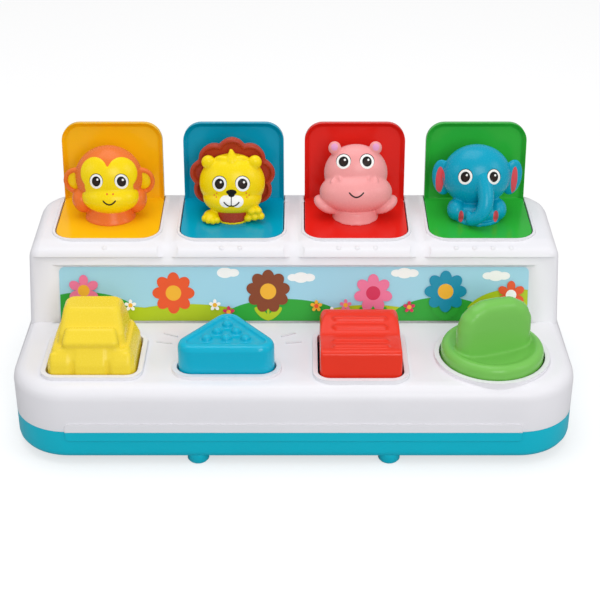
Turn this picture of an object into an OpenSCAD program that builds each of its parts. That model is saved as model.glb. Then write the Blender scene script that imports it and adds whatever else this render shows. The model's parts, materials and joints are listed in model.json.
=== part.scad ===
// Pop up animal toy: four spring lids with animal heads in a two-level case, each let
// go by its own key. Millimetres, +Z up, the table at Z = 0, the front faces -Y.
// The origin is under the middle of the case. The lids are shown open.

/* [Case] */
// Case beyond the outer lid units, at each end
case_end = 10; // [8:0.5:16]
// Step from the case's ends in to the rear block's
block_step = 2; // [1:0.5:4]
// Low deck between the keys' centres and the riser's foot
key_room = 39.3; // [38.5:0.1:44]
// Height of the feet
foot_h = 4; // [2:0.5:6]
// Diameter of each foot
foot_d = 12; // [8:1:16]
// Height of the seam between tray and shell
seam_z = 22; // [18:1:26]
// Height of the low front deck
low_deck_z = 49; // [47:1:52]
// Plan radius of the case's front corners
front_r = 32; // [20:1:36]
// Plan radius of the case's rear corners
rear_r = 20; // [12:1:24]
// Rounding along the low deck's edge
edge_r = 8; // [4:1:9]
// Rounding along the tray's bottom edge
tray_edge_r = 5; // [2:1:8]
// Wall thickness of tray and shell
wall = 2.4; // [2:0.1:3]
// Distance of the raised tab's ends from the case's
tab_inset = 31; // [28:1:60]
// Height of the raised tab across the front seam
tab_h = 11; // [6:1:14]
// How far the tab and the lips stand proud
proud = 0.8; // [0.4:0.1:1.2]

/* [Rear deck] */
// Height of the hinge axes
hinge_z = 92.6; // [90:0.2:96]
// Distance of the hinge axes from the back of the case
hinge_inset = 17; // [16.8:0.2:20]
// Forward slope of the rear deck, degrees
deck_slope = 3; // [0:0.5:4]
// Thickness of both decks
deck_t = 2.6; // [2.2:0.1:3]
// Width of the lip in front of the openings
front_lip = 2; // [1.5:0.1:3]
// Depth of the slanting brow, front to back
brow_d = 8.8; // [7:0.2:10]
// Height of the slanting brow
brow_h = 6.9; // [6:0.1:8]
// Step from the brow back to the riser
ledge = 1.2; // [0.6:0.1:1.5]
// Lean of the riser from the vertical, degrees
riser_lean = 17.8; // [12:0.2:19]
// Rounding of the rear block's upper edges
block_r = 7; // [4:1:8]
// Depth of the grooves that part the four units
valley_d = 1; // [0.5:0.1:1.4]
// Radius of the grooves' section
valley_r = 9; // [6:1:12]
// Diameter of a counting dot
dot_d = 4; // [3:0.5:5]
// Spacing of the counting dots
dot_pitch = 10.6; // [8:0.2:12]

/* [Label] */
// Distance of the label's ends from the rear block's
label_inset = 18; // [14:0.5:30]
// Height of the picture label
label_h = 31.6; // [26:0.2:32]
// Thickness of the picture label
label_t = 0.5; // [0.3:0.1:0.8]
// Depth of its recess
label_recess = 2; // [1.5:0.1:2.2]
// Width of the recess's slanting sides
label_bevel = 5; // [3:0.5:6]

/* [Pop-up lids] */
// Spacing of the four units
unit_pitch = 73; // [70:0.5:78]
// Deck left between two openings
opening_gap = 11.6; // [11:0.2:14]
// Reach of lid and floor from the hinge axis
flap_reach = 49.8; // [48:0.2:50.4]
// Thickness of lid and floor
flap_t = 2.2; // [1.8:0.1:2.4]
// Gap between a flap and its opening
flap_gap = 0.5; // [0.4:0.1:0.8]
// Lean of the open lid from square to its floor, degrees
lid_lean = 11; // [8:0.5:13]
// Corner radius of lids and openings
flap_r = 11; // [8:0.5:13]
// Height of the rim inside a lid
rim_h = 2.8; // [2:0.2:3.4]
// Width of the rim inside a lid
rim_w = 2.6; // [2:0.2:3.4]
// Distance of the hinge axis below the floor's face
hinge_drop = 2.6; // [2.5:0.1:2.8]
// Diameter of a hinge pin
pin_d = 2; // [1.6:0.1:2.2]
// Radial clearance of a shaft in its bore
fit = 0.04; // [0.02:0.01:0.08]

/* [Keys] */
// Distance of the keys' centres from the case's front
key_inset = 34; // [33.5:0.5:36]
// Distance of the turning key's centre from the case's front
knob_inset = 35.5; // [35:0.5:37]
// Gap between a key and its opening
key_gap = 0.9; // [0.6:0.1:1.2]
// Width of the collars round the keys
collar_w = 2.8; // [2:0.2:3.2]
// Height of the collars round the keys
collar_h = 2; // [1:0.2:2.6]
// Width of the car
car_w = 48.6; // [44:0.2:49]
// Depth of the car
car_d = 41.5; // [38:0.5:43]
// Height of the car above the deck
car_h = 32; // [28:0.5:35]
// Width of the triangle
tri_w = 53; // [48:0.5:54]
// Depth of the triangle
tri_d = 40; // [36:0.5:42]
// Corner radius of the triangle
tri_r = 8; // [6:0.5:9]
// Height of the triangle above the deck
tri_h = 18; // [15:0.5:20]
// Width of the rocking key
rock_w = 45.4; // [42:0.2:47]
// Depth of the rocking key
rock_d = 48; // [44:0.5:49]
// Height of the rocking key's ends above the deck
rock_h = 19; // [16:0.5:21]
// Diameter of the turning key's dish
knob_d = 57; // [52:0.5:58]
// Height of the turning key's fin above the deck
knob_h = 36.5; // [32:0.5:39]
// Turn of the fin at rest, degrees
fin_turn = 20; // [0:5:30]
// Travel of the car and the triangle
press = 3; // [2:0.5:3]

/* [Heads] */
// Width of the monkey's head, which the other heads follow
head_w = 39.8; // [34:0.2:40.4]

/* [Release levers] */
// Sideways distance of each lever from its key's centre
lever_dx = 13; // [12:0.5:14]
// Width of a lever
lever_w = 6; // [4:0.5:7]
// Height of the levers' pivots
lever_z = 58; // [56:1:60]
// Distance of the levers' pivots behind the riser's face
lever_back = 9.8; // [9.4:0.1:10.4]
// Diameter of a lever pin
lever_pin_d = 3; // [2.4:0.2:3.4]

/* [Hidden] */

white = "#f4f3f6";
teal = "#00b3cc";
steel = "#b9bdc2";
grey = "#9aa0a8";
lid_colours = ["#f9b700", "#00a0be", "#e52a1e", "#2fb030"];

$fn = 48;
e = 0.01;                                // overrun of a cut past a face
opening_w = unit_pitch - opening_gap;
key_pitch = unit_pitch + 0.7;            // the keys stand a little wider than the lids
case_w = 4 * unit_pitch + 2 * case_end;
block_w = case_w - 2 * block_step;
tab_w = case_w - 2 * tab_inset;
label_w = block_w - 2 * label_inset;
bottom_z = foot_h;                       // underside of the tray
floor_z = bottom_z + wall;               // inside of the tray
under_z = low_deck_z - deck_t;           // underside of the low deck
skin = 1.8;                              // wall behind the label and the brow

// The rear deck in side view
function deck_ahead(d) = hinge_z + hinge_drop / cos(deck_slope) - d * tan(deck_slope);
function deck_at(y) = deck_ahead(hinge_y - y);
opening_front = flap_reach + flap_gap + 0.1;      // from the hinge axis
opening_back = hinge_drop + 1.6;
brow_back = opening_front + front_lip;   // from the hinge axis forward to the brow
brow_z = deck_ahead(brow_back);
riser_top_z = brow_z - brow_h;
riser_run = tan(riser_lean);
riser_d = (riser_top_z - low_deck_z) * riser_run - ledge;
case_d = key_inset + key_room + riser_d + brow_d + brow_back + hinge_inset;
front_y = -(case_d - proud) / 2;         // the tab in front counts in the middle
back_y = (case_d + proud) / 2;
hinge_y = back_y - hinge_inset;
brow_y = hinge_y - brow_back;
riser_top_y = brow_y - brow_d;
function riser_at(z) = riser_top_y + ledge - (riser_top_z - z) * riser_run;
block_back_y = back_y - 7;               // the back leans in towards the top

function unit_x(i) = (i - 1.5) * unit_pitch;
function key_x(i) = (i - 1.5) * key_pitch;
key_y = front_y + key_inset;
knob_y = front_y + knob_inset;
lever_y = riser_at(lever_z) + lever_back;
flap_w = opening_w - 2 * flap_gap;
lug_t = 3;
lug_x = opening_w / 2 + 0.4;             // inner face of a hinge lug

// Screws: from the tray's underside into the shell
screw_d = 2.8;
screw_head_d = 5.6;
screw_l = 17;
boss_d = 8;
screw_x = block_w / 2 - 8;
screw_y0 = front_y + 18.6;               // front row
screw_y1 = hinge_y - 20.4;               // rear pair, beside the outer lids
screws = [[-screw_x, screw_y1], [0, hinge_y - 6], [screw_x, screw_y1],
          [-key_pitch, screw_y0], [0, screw_y0], [key_pitch, screw_y0]];

// ---- outlines ----

// Points of a polygon with rounded corners; each corner is [x, y, radius]
function unit_v(v) = v / norm(v);
function corner_arc(a, b, c, steps = 6) =
    let (p = [b[0], b[1]], u = unit_v([a[0], a[1]] - p), v = unit_v([c[0], c[1]] - p),
         half = acos(u * v) / 2, r = b[2])
    r == 0 ? [p] :
    let (m = p + unit_v(u + v) * r / sin(half), s = p + u * r / tan(half) - m,
         turn = (180 - 2 * half) * sign(u[0] * v[1] - u[1] * v[0]))
    [for (k = [0:steps]) let (g = -turn * k / steps)
        m + [s[0] * cos(g) - s[1] * sin(g), s[0] * sin(g) + s[1] * cos(g)]];
function rounded(c, steps = 6) =
    [for (i = [0:len(c) - 1])
        each corner_arc(c[(i + len(c) - 1) % len(c)], c[i], c[(i + 1) % len(c)], steps)];
function plan_outline(inset) =
    let (w = case_w / 2 - inset, y0 = front_y + inset, y1 = back_y - inset)
    rounded([[-w, y0, front_r - inset], [w, y0, front_r - inset],
             [w, y1, rear_r - inset], [-w, y1, rear_r - inset]], 8);
function box_outline(w, d, r) =
    rounded([[-w / 2, -d / 2, r], [w / 2, -d / 2, r], [w / 2, d / 2, r], [-w / 2, d / 2, r]]);
function tri_outline(grow) =
    let (w = tri_w / 2 + grow, d = tri_d / 2 + grow, r = tri_r + grow,
         lean = atan2(tri_d - 2 * tri_r, tri_w / 2 - tri_r),
         foot = r / tan(lean / 2), peak = r / cos(lean))
    rounded([[-w + r - foot, -d, r], [w - r + foot, -d, r], [0, d - r + peak, r]], 8);

// ---- frames ----

// A unit's own frame: its hinge axis along X, Z square to the deck
module on_deck(i) translate([unit_x(i), hinge_y, hinge_z]) rotate([deck_slope, 0, 0]) children();
module at_key(i, y = key_y) translate([key_x(i), y, 0]) children();
module at_lever(i) translate([key_x(i) + lever_dx, lever_y, lever_z]) children();
// Stands a profile drawn in the YZ plane along X, centred
module along_x(w) rotate([90, 0, 90]) linear_extrude(w, center = true) children();
module rod_x(d, l) rotate([0, 90, 0]) rotate([0, 0, 33]) cylinder(d = d, h = l, center = true);

// ---- case ----

// A round-cornered disc with a rounded upper (or lower) edge, a corner of the case
module puck(r, h, edge, flip = false)
    mirror([0, 0, flip ? 1 : 0])
        rotate_extrude($fn = 64)
            polygon(concat([[0, 0], [r, 0]],
                [for (k = [0:4]) [r - edge + edge * cos(k * 22.5), h - edge + edge * sin(k * 22.5)]],
                [[0, h]]));

module case_corners(h, edge, flip = false)
    hull() for (sx = [-1, 1]) {
        translate([sx * (case_w / 2 - front_r), front_y + front_r, 0]) puck(front_r, h, edge, flip);
        translate([sx * (case_w / 2 - rear_r), back_y - rear_r, 0]) puck(rear_r, h, edge, flip);
    }

// The rear block: a hull of rounded corners, leaning in towards its deck
module block_body()
    hull() for (sx = [-1, 1]) {
        translate([sx * (block_w / 2 - rear_r), back_y - rear_r, seam_z + 4])
            cylinder(r = rear_r, h = 1, $fn = 40);
        translate([sx * (block_w / 2 - rear_r - 1), block_back_y - rear_r, deck_at(block_back_y - rear_r) - 14])
            rotate([deck_slope, 0, 0]) puck_small(rear_r, 14, block_r);
        translate([sx * (block_w / 2 - block_r - 1), brow_y + block_r * 0.55, brow_z - block_r])
            sphere(block_r, $fn = 32);
        translate([sx * (block_w / 2 - block_r - 0.5), riser_top_y + 0.955 * block_r, riser_top_z - 0.25 * block_r])
            sphere(block_r, $fn = 32);
        translate([sx * (block_w / 2 - block_r), riser_at(low_deck_z - 6) - ledge + block_r * 1.05, low_deck_z - 6])
            cylinder(r = block_r, h = 1, $fn = 32);
    }
module puck_small(r, h, edge)
    rotate_extrude($fn = 40)
        polygon(concat([[0, 0], [r, 0]],
            [for (k = [0:4]) [r - edge + edge * cos(k * 22.5), h - edge + edge * sin(k * 22.5)]],
            [[0, h]]));

module riser_frame() translate([0, riser_at(low_deck_z), low_deck_z]) rotate([-riser_lean, 0, 0]) children();

module key_outline(i, grow)
    if (i == 0) polygon(box_outline(car_w + 2 * grow, car_d + 2 * grow, 5 + grow));
    else if (i == 1) polygon(tri_outline(grow));
    else if (i == 2) polygon(box_outline(rock_w + 2 * grow, rock_d + 2 * grow, 6 + grow));
    else circle(d = knob_d + 2 * grow, $fn = 96);
function key_cy(i) = i == 3 ? knob_y : key_y;

module flap_opening(grow)
    polygon(rounded([[-opening_w / 2 - grow, -opening_front - grow, flap_r + grow],
                     [opening_w / 2 + grow, -opening_front - grow, flap_r + grow],
                     [opening_w / 2 + grow, opening_back, 0], [-opening_w / 2 - grow, opening_back, 0]]));

module shell_outside() {
    difference() {
        block_body();
        riser_frame() translate([0, -10, -20]) along_x_block(case_w, 10, riser_cut_h() + 20);
    }
    translate([0, 0, seam_z]) case_corners(low_deck_z - seam_z, edge_r);
    for (i = [0:3]) at_key(i, key_cy(i))
        translate([0, 0, under_z]) linear_extrude(deck_t + collar_h) key_outline(i, key_gap + collar_w);
    for (i = [0:3]) on_deck(i)
        translate([0, 0, hinge_drop - deck_t]) linear_extrude(deck_t + 0.5) intersection() {
            flap_opening(1.6);
            translate([-50, -opening_front - 1.6]) square([100, opening_front - 4]);
        }
    tab(seam_z, seam_z + tab_h / 2);
    counting_dots();
    rays();
}
function riser_cut_h() = (riser_top_z - low_deck_z) / cos(riser_lean);
module along_x_block(w, d, h) translate([-w / 2, 0, 0]) cube([w, d, h]);

// The raised tab across the seam, the part of it between two heights
module tab(z0, z1)
    intersection() {
        translate([0, front_y + 3, seam_z - tab_h * 0.02]) rotate([90, 0, 0])
            linear_extrude(3 + proud) polygon(box_outline(tab_w, tab_h, 2.4));
        translate([-tab_w, front_y - 5, z0]) cube([2 * tab_w, 10, z1 - z0]);
    }

module counting_dots()
    for (i = [0:3], k = [0:i])
        translate([unit_x(i) + (k - i / 2) * dot_pitch, brow_y - brow_d / 2, brow_z - brow_h / 2])
            sphere(d = dot_d);

// Faint rays beside the triangle
module rays()
    for (s = [-1, 1], a = [12, 26])
        translate([key_x(1), key_y + 8, low_deck_z - 0.3]) rotate([0, 0, s > 0 ? a : 180 - a])
            translate([33, -0.5, 0]) cube([9, 1, 0.8]);

module shell_inside() {
    // under the low deck
    translate([0, 0, seam_z - e]) linear_extrude(under_z - 6 - seam_z) polygon(plan_outline(wall));
    translate([0, 0, seam_z]) linear_extrude(under_z - seam_z) polygon(plan_outline(wall + 2.3));
    // inside the rear block
    inner = [[back_y - wall - 0.2, seam_z - e], [back_y - wall - 0.2, seam_z + 5],
             [block_back_y - wall, deck_at(block_back_y) - 14],
             [block_back_y - wall, deck_at(block_back_y) - 6],
             [block_back_y - wall - 3, deck_at(block_back_y - wall - 3) - deck_t],
             [brow_y + 1, deck_at(brow_y + 1) - deck_t],
             [riser_top_y + ledge + skin + 0.3, riser_top_z - 0.8],
             [riser_at(riser_top_z - 3) + label_recess + skin + 0.2, riser_top_z - 3],
             [riser_at(under_z) + label_recess + skin + 0.2, under_z],
             [riser_at(under_z) + label_recess + skin + 0.2, seam_z - e]];
    intersection() {
        along_x(block_w) polygon(inner);
        hull() for (sx = [-1, 1]) {
            translate([sx * (block_w / 2 - rear_r), back_y - rear_r, seam_z - 1])
                cylinder(r = rear_r - wall, h = 5, $fn = 40);
            translate([sx * (block_w / 2 - rear_r - 1), block_back_y - rear_r,
                       deck_at(block_back_y - rear_r) - 14])
                rotate([deck_slope, 0, 0]) puck_small(rear_r - wall, 14.3 - deck_t, 5);
            translate([sx * (block_w / 2 - wall - 5), riser_at(seam_z), seam_z - 1])
                cylinder(r = 3, h = 20, $fn = 24);
            translate([sx * (block_w / 2 - wall - 6), riser_top_y + 6, brow_z - 20])
                cylinder(r = 3, h = 15, $fn = 24);
            translate([sx * (block_w / 2 - wall - 9), brow_y + 2, brow_z - 6])
                cylinder(r = 2, h = 6, $fn = 24);
        }
    }
}

module label_recess_cut()
    hull() {
        riser_frame() translate([-label_w / 2 - 0.5, label_recess, -6]) cube([label_w + 1, e, label_h + 7]);
        riser_frame() translate([-label_w / 2 - label_bevel, -1, -6])
            cube([label_w + 2 * label_bevel, e, label_h + 8.5]);
    }

module valleys()
    for (x = [-unit_pitch, 0, unit_pitch]) {
        translate([x, hinge_y, hinge_z]) rotate([deck_slope, 0, 0])
            translate([0, 12, hinge_drop + valley_r - valley_d]) rotate([90, 0, 0])
                cylinder(r = valley_r, h = 12 + opening_front + front_lip + 4);
        translate([x, brow_y - brow_d / 2, brow_z - brow_h / 2])
            rotate([atan2(brow_h, brow_d), 0, 0]) translate([0, 0, valley_r - valley_d]) rotate([90, 0, 0])
                cylinder(r = valley_r, h = brow_d + 8, center = true);
    }

module hinge_lugs()
    for (i = [0:3], s = [-1, 1]) on_deck(i)
        translate([s * (lug_x + lug_t / 2) - lug_t / 2, -4, -4])
            cube([lug_t, 8, 4.6 + hinge_drop - deck_t]);

// Brackets behind the label wall, a pair to each lever
module lever_lugs()
    for (i = [0:3], s = [-1, 1]) at_lever(i) translate([s * (lever_w / 2 + 0.4 + lug_t / 2), 0, 0])
        along_x(lug_t) polygon([[lug_root(-5), -5], [4, -5], [4, 5], [lug_root(5), 5]]);
function lug_root(z) = riser_at(lever_z + z) + label_recess + skin - lever_y - 0.8;

module screw_bosses()
    for (p = screws) translate([p[0], p[1], seam_z])
        difference() {
            cylinder(d = boss_d, h = (p[1] > 0 ? deck_at(p[1] - 5) : low_deck_z) - seam_z - 2);
            translate([0, 0, -e]) cylinder(d = screw_d + 0.1, h = screw_l - 6);
        }

module top_shell() color(white) difference() {
    union() {
        difference() {
            shell_outside();
            shell_inside();
            label_recess_cut();
            valleys();
            for (i = [0:3]) on_deck(i) translate([0, 0, -6]) linear_extrude(16) flap_opening(0);
            for (i = [0:3]) at_key(i, key_cy(i))
                translate([0, 0, under_z - 1]) linear_extrude(10) key_outline(i, key_gap);
        }
        hinge_lugs();
        lever_lugs();
        screw_bosses();
    }
    for (i = [0:3]) on_deck(i) rod_x(pin_d + 2 * fit, 2 * (lug_x + lug_t) + 0.4);
    for (i = [0:3]) at_lever(i) {
        rod_x(lever_pin_d + 2 * fit, 40);
        // room for the nose to swing forward under the brow
        translate([-lever_w / 2 - 0.7, nose_y - 3.7, nose_z - 2.6]) cube([lever_w + 1.4, 4.1, 3.5]);
    }
}

module base_tray() color(teal)
    difference() {
        union() {
            difference() {
                translate([0, 0, seam_z]) case_corners(seam_z - bottom_z, tray_edge_r, true);
                translate([0, 0, floor_z]) linear_extrude(seam_z) polygon(plan_outline(wall));
            }
            tab(seam_z - tab_h / 2 - 1, seam_z);
            for (sx = [-1, 1], y = [front_y + foot_d / 2 + 0.6, back_y - 14]) translate([sx * 53, y, 0]) {
                cylinder(d1 = foot_d - 1.6, d2 = foot_d, h = 1);
                translate([0, 0, 1]) cylinder(d = foot_d, h = foot_h + 1);
            }
            for (p = screws) translate([p[0], p[1], floor_z - 1]) cylinder(d = boss_d, h = seam_z - floor_z + 1);
            for (i = [0:1]) at_key(i) {
                translate([0, 0, floor_z - 1]) cylinder(d = 11, h = 2.6);
                translate([0, 0, floor_z]) cylinder(d = guide_d, h = guide_top - floor_z);
            }
            for (s = [-1, 1]) at_key(2) translate([s * rocker_post_x - 1.3, -4, floor_z - 1])
                cube([2.6, 8, rocker_z + 3.4 - floor_z + 1]);
            at_key(3, knob_y) translate([0, 0, floor_z - 1]) cylinder(d = 14, h = 19);
        }
        for (p = screws) translate([p[0], p[1], 0]) {
            translate([0, 0, -e]) cylinder(d = screw_head_d + 0.8, h = screw_seat + e);
            cylinder(d = screw_d + 0.4, h = seam_z + 1);
        }
        at_key(2) translate([0, 0, rocker_z]) rod_x(3 + 2 * fit, 80);
        at_key(3, knob_y) translate([0, 0, floor_z + 2]) cylinder(d = shaft_d + 2 * fit, h = 30);
    }
guide_d = 7;
guide_top = 41;
shaft_d = 8;
screw_seat = 9;
rocker_z = 45;
rocker_post_x = rock_w / 2 - 4.2;        // middle of a post that holds its pin

module label_panel() color("#a8daea")
    riser_frame() translate([0, label_recess, 0.7]) rotate([90, 0, 0])
        linear_extrude(label_t) polygon(box_outline_up(label_w, label_h, 3));
function box_outline_up(w, h, r) = [for (p = box_outline(w, h, r)) p + [0, h / 2]];

module case_screws() color(steel)
    for (p = screws) translate([p[0], p[1], 0]) {
        translate([0, 0, screw_seat - 2.2]) cylinder(d = screw_head_d, h = 2.2);
        translate([0, 0, screw_seat - e]) cylinder(d = screw_d, h = screw_l);
    }

// ---- flaps ----

module hinge_pins() color(steel) for (i = [0:3]) on_deck(i) rod_x(pin_d, 2 * (lug_x + lug_t));

// Coil of each lid's torsion spring, round the pin inside the flap's heel
coil_w = 11;
module lid_springs() color(steel)
    for (i = [0:3]) on_deck(i) {
        difference() {
            rod_x(3.6, coil_w);
            rod_x(pin_d + 0.4, coil_w + 1);
        }
    }

// A flap: floor and lid in one moulding, turning on its heel
module flap(i) color(lid_colours[i]) on_deck(i) {
    difference() {
        union() {
            rod_x(2 * hinge_drop + 0.6, flap_w - 1);
            flap_plate(flap_t);
            rotate([-90 - lid_lean, 0, 0]) mirror([0, 0, 1]) lid_half();
        }
        rod_x(pin_d + 2 * fit, flap_w + 1);
        rod_x(3.9, coil_w + 1);
        translate([-coil_w / 2 - 0.5, -8, -8]) cube([coil_w + 1, 8.2, 8.2]);
        translate([0, screw_y, -3]) cylinder(d = 3, h = 8);
    }
}
// One leg of the L, from the heel out; its outer face is hinge_drop from the axis
module flap_plate(t, inset = 0)
    translate([0, 0, hinge_drop - t]) linear_extrude(t) flap_shape(inset);
module flap_shape(inset)
    polygon(rounded([[-flap_w / 2 + inset, -flap_reach + inset, flap_r - inset],
                     [flap_w / 2 - inset, -flap_reach + inset, flap_r - inset],
                     [flap_w / 2 - inset, 0, 0], [-flap_w / 2 + inset, 0, 0]]));
lid_inset = 0.1;                         // the lid is a hair smaller than its floor
// The lid: a plate with a raised rim that runs out towards the hinge
module lid_half() {
    flap_plate(flap_t, lid_inset);
    difference() {
        translate([0, 0, hinge_drop - flap_t - rim_h]) linear_extrude(rim_h + e) difference() {
            flap_shape(lid_inset);
            flap_shape(rim_w);
            translate([-flap_w, -6]) square([2 * flap_w, 20]);
        }
        // the rim tapers off above the floor
        translate([-flap_w, -6, hinge_drop - flap_t]) rotate([-14, 0, 0])
            translate([0, -16, -10]) cube([2 * flap_w, 30, 10 - rim_h * 0.1]);
        // notch for the lever's nose
        translate([lever_dx - 4, -flap_reach - 1, hinge_drop - flap_t - 1.6]) cube([8, 2, 1.6]);
    }
}

module flap_screw(i) color(steel) on_deck(i) translate([0, screw_y, 0]) {
    translate([0, 0, hinge_drop - flap_t - 1.8]) cylinder(d = 5, h = 1.8);
    translate([0, 0, hinge_drop - flap_t - e]) cylinder(d = 2.6, h = 9);
}

// ---- figures ----

// An egg of three radii, in flat facets
module egg(rx, ry, rz, n = 22) hull() scale([rx, ry, rz]) sphere(1, $fn = n);
// Figures stand on the floor: this frame has Z = 0 on its face, under the figure.
fig_y = -23;
screw_y = -19;                           // the screw that holds a figure, from the hinge
module on_floor(i) on_deck(i) translate([0, fig_y, hinge_drop]) children();
// The heads are drawn at this width, and made at head_w
head_unit = 39.8;
module sized() scale(head_w / head_unit) children();
// Keeps a figure inside the path it swings through
module in_path()
    intersection() {
        sized() children();
        translate([0, -fig_y, -hinge_drop]) rod_x(2 * (flap_reach - 0.8), flap_w + 20, $fn = 96);
    }
module fig_hole() translate([0, screw_y - fig_y, -1]) cylinder(d = 2.7, h = 10.5, $fn = 16);
module base_ring(r0, r1, h) translate([0, -1.5, 0]) cylinder(r1 = r0, r2 = r1, h = h, $fn = 32);
module leaning(y, z) translate([0, y, z]) rotate([-8, 0, 0]) children();

module monkey_face_shape() {
    for (s = [-1, 1]) translate([s * 8.6, 1.2, 28.6]) egg(9.4, 9.4, 9.6, 16);
    translate([0, -1.6, 15.6]) egg(17.4, 11.4, 10.2, 22);
    translate([0, 1.2, 23]) egg(12, 9.8, 7, 16);
}
module monkey_figure() color("#ee7038") on_floor(0) difference() {
    in_path() union() {
        leaning(6, 23.4) egg(19.9, 14.5, 19, 24);
        for (s = [-1, 1]) {
            translate([s * 19.4, 6, 22.5]) rotate([90, 0, 0]) difference() {
                cylinder(r = 7.6, h = 4, center = true, $fn = 28);
                translate([0, 0, 1]) cylinder(r = 4.8, h = 4, $fn = 20);
            }
            translate([s * 16.2, -1, 9.2]) egg(7.4, 6.2, 5.4, 12);
        }
        base_ring(15.2, 10.5, 9);
    }
    sized() monkey_face_shape();
    fig_hole();
}
module monkey_face() color("#f9dc0a") on_floor(0) difference() { in_path() monkey_face_shape(); fig_hole(); }

// Scalloped mane, a rim round a shallow dish
module mane_outline(r) {
    for (k = [0:8]) rotate(k * 40 + 90) translate([17, 0]) circle(r, $fn = 24);
    circle(19, $fn = 24);
}
mane_y = 7;                              // front of the mane's rim
module mane_plate() difference() {
    translate([0, mane_y + 7, 22]) rotate([90, 0, 0]) difference() {
        linear_extrude(7) mane_outline(8.6);
        translate([0, 0, 5.8]) linear_extrude(7) mane_outline(6.8);
    }
    translate([-40, -40, -20]) cube([80, 80, 20]);
}
module lion_mane() color("#a63a28") on_floor(1)
    in_path() {
        mane_plate();
        leaning(mane_y + 7, 22) egg(17, 6.2, 17, 24);
    }
module lion_figure() color("#f8dd0a") on_floor(1) difference() {
    in_path() {
        leaning(2.6, 21.4) egg(19.6, 12.6, 18, 24);
        translate([0, -0.4, 13.4]) egg(17.4, 12, 9.4, 20);
        for (s = [-1, 1]) translate([s * 13.6, 0.5, 34.6]) egg(4.3, 3.6, 4.4, 12);
        translate([0, 0.8, 38.4]) egg(3, 2.8, 4.4, 12);
        base_ring(12.6, 12, 8);
        translate([-12.8, -8.5, 3.2]) egg(5.4, 5.4, 3.2, 12);
        translate([13, -8, 5.4]) egg(5.8, 5.2, 5.4, 12);
    }
    // everything behind the mane's face
    sized() translate([-40, mane_y, -1]) cube([80, 40, 80]);
    fig_hole();
}

module hippo_figure() color("#f5a3a3") on_floor(2) difference() {
    in_path() union() {
        leaning(6, 25.4) egg(18.6, 12.2, 17.2, 22);
        translate([0, 0, 15.6]) egg(21.4, 13.4, 11.6, 24);
        for (s = [-1, 1]) {
            translate([s * 12, 5.6, 40]) egg(3.7, 2.4, 3.9, 12);
            translate([s * 18.8, 0, 7.6]) rotate([0, s * 28, 0]) egg(6, 7.4, 4.6, 14);
        }
        base_ring(13.8, 11.4, 7);
    }
    fig_hole();
}

module elephant_figure() color("#18a8c8") on_floor(3) difference() {
    in_path() union() {
        leaning(5, 24.6) egg(19.3, 14.4, 18.4, 24);
        for (s = [-1, 1]) {
            translate([s * 20.8, 8, 23.6]) egg(6, 2.8, 10.4, 14);
            translate([s * 12.6, -5, 5.8]) egg(5.4, 6.4, 5.8, 12);
        }
        translate([2.4, -8.6, 22]) egg(4.8, 4.4, 6, 12);
        translate([2.4, -12.2, 15.6]) egg(4.4, 4, 6.4, 12);
        translate([-1.6, -13, 8.6]) egg(3.9, 3.6, 4.6, 12);
        translate([0, -0.6, 5.2]) egg(15.4, 12, 5.2, 18);
        base_ring(14.2, 13.6, 3);
    }
    fig_hole();
}

// ---- release levers ----

// Bell crank in side view: a long arm under the key, a nose behind the brow
nose_y = hinge_y - flap_reach - 0.5 - lever_y;
nose_z = deck_at(brow_y) - deck_t - 1.2 - lever_z;
arm_z = 31 - lever_z;                    // top of the arm
arm_end = key_y - 20 - lever_y;
bump_z = 33 - lever_z;
module release_lever(i) color(grey) at_lever(i)
    difference() {
        union() {
            along_x(lever_w) {
                circle(d = 9.2);
                polygon([[-2, -2], [3.5, -2], [3.5, arm_z + 3], [1, arm_z], [-1, arm_z - 4],
                         [arm_end, arm_z - 4], [arm_end, arm_z], [-4.5, arm_z], [-2, arm_z + 3]]);
                polygon([[-2, 0], [3.6, 0], [nose_y - 0.2, nose_z - 6], [nose_y, nose_z - 1.6],
                         [nose_y, nose_z], [nose_y - 0.6, nose_z], [nose_y - 3, nose_z - 3.4],
                         [nose_y - 3.6, nose_z - 6]]);
            }
            translate([-lever_w / 2, key_y - 2.5 - lever_y, arm_z - 1])
                cube([lever_w, 5, bump_z - arm_z + 1]);
        }
        rod_x(lever_pin_d + 2 * fit, lever_w + 1);
    }
module lever_pins() color(steel)
    for (i = [0:3]) at_lever(i) rod_x(lever_pin_d, lever_w + 0.8 + 2 * lug_t + 5);
module lever_springs() color(steel)
    for (i = [0:3]) at_lever(i) translate([lever_w / 2 + 0.4 + lug_t + 1.4, 0, 0]) difference() {
        rod_x(5.4, 2);
        rod_x(lever_pin_d + 0.3, 3);
    }

// ---- keys ----

module hollow_key(i, top) {
    // flange that keeps the key under the deck
    translate([0, 0, under_z - 3.5]) linear_extrude(3) difference() {
        key_outline(i, 2.2);
        key_outline(i, -3.4);
    }
    // sliding tube on the tray's guide
    difference() {
        translate([0, 0, 34]) cylinder(d = 11, h = top - 34);
        translate([0, 0, 33]) cylinder(d = guide_d + 2 * fit, h = guide_top + press + 1 - 33);
    }
    // plunger over the lever's bump
    translate([lever_dx - 3, -3, bump_z + lever_z + 0.5]) cube([6, 6, top - bump_z - lever_z - 0.5]);
    translate([4.6, -1, under_z - 3.4]) cube([lever_dx - 4.6, 2, top - under_z + 3.4]);
}

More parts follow.
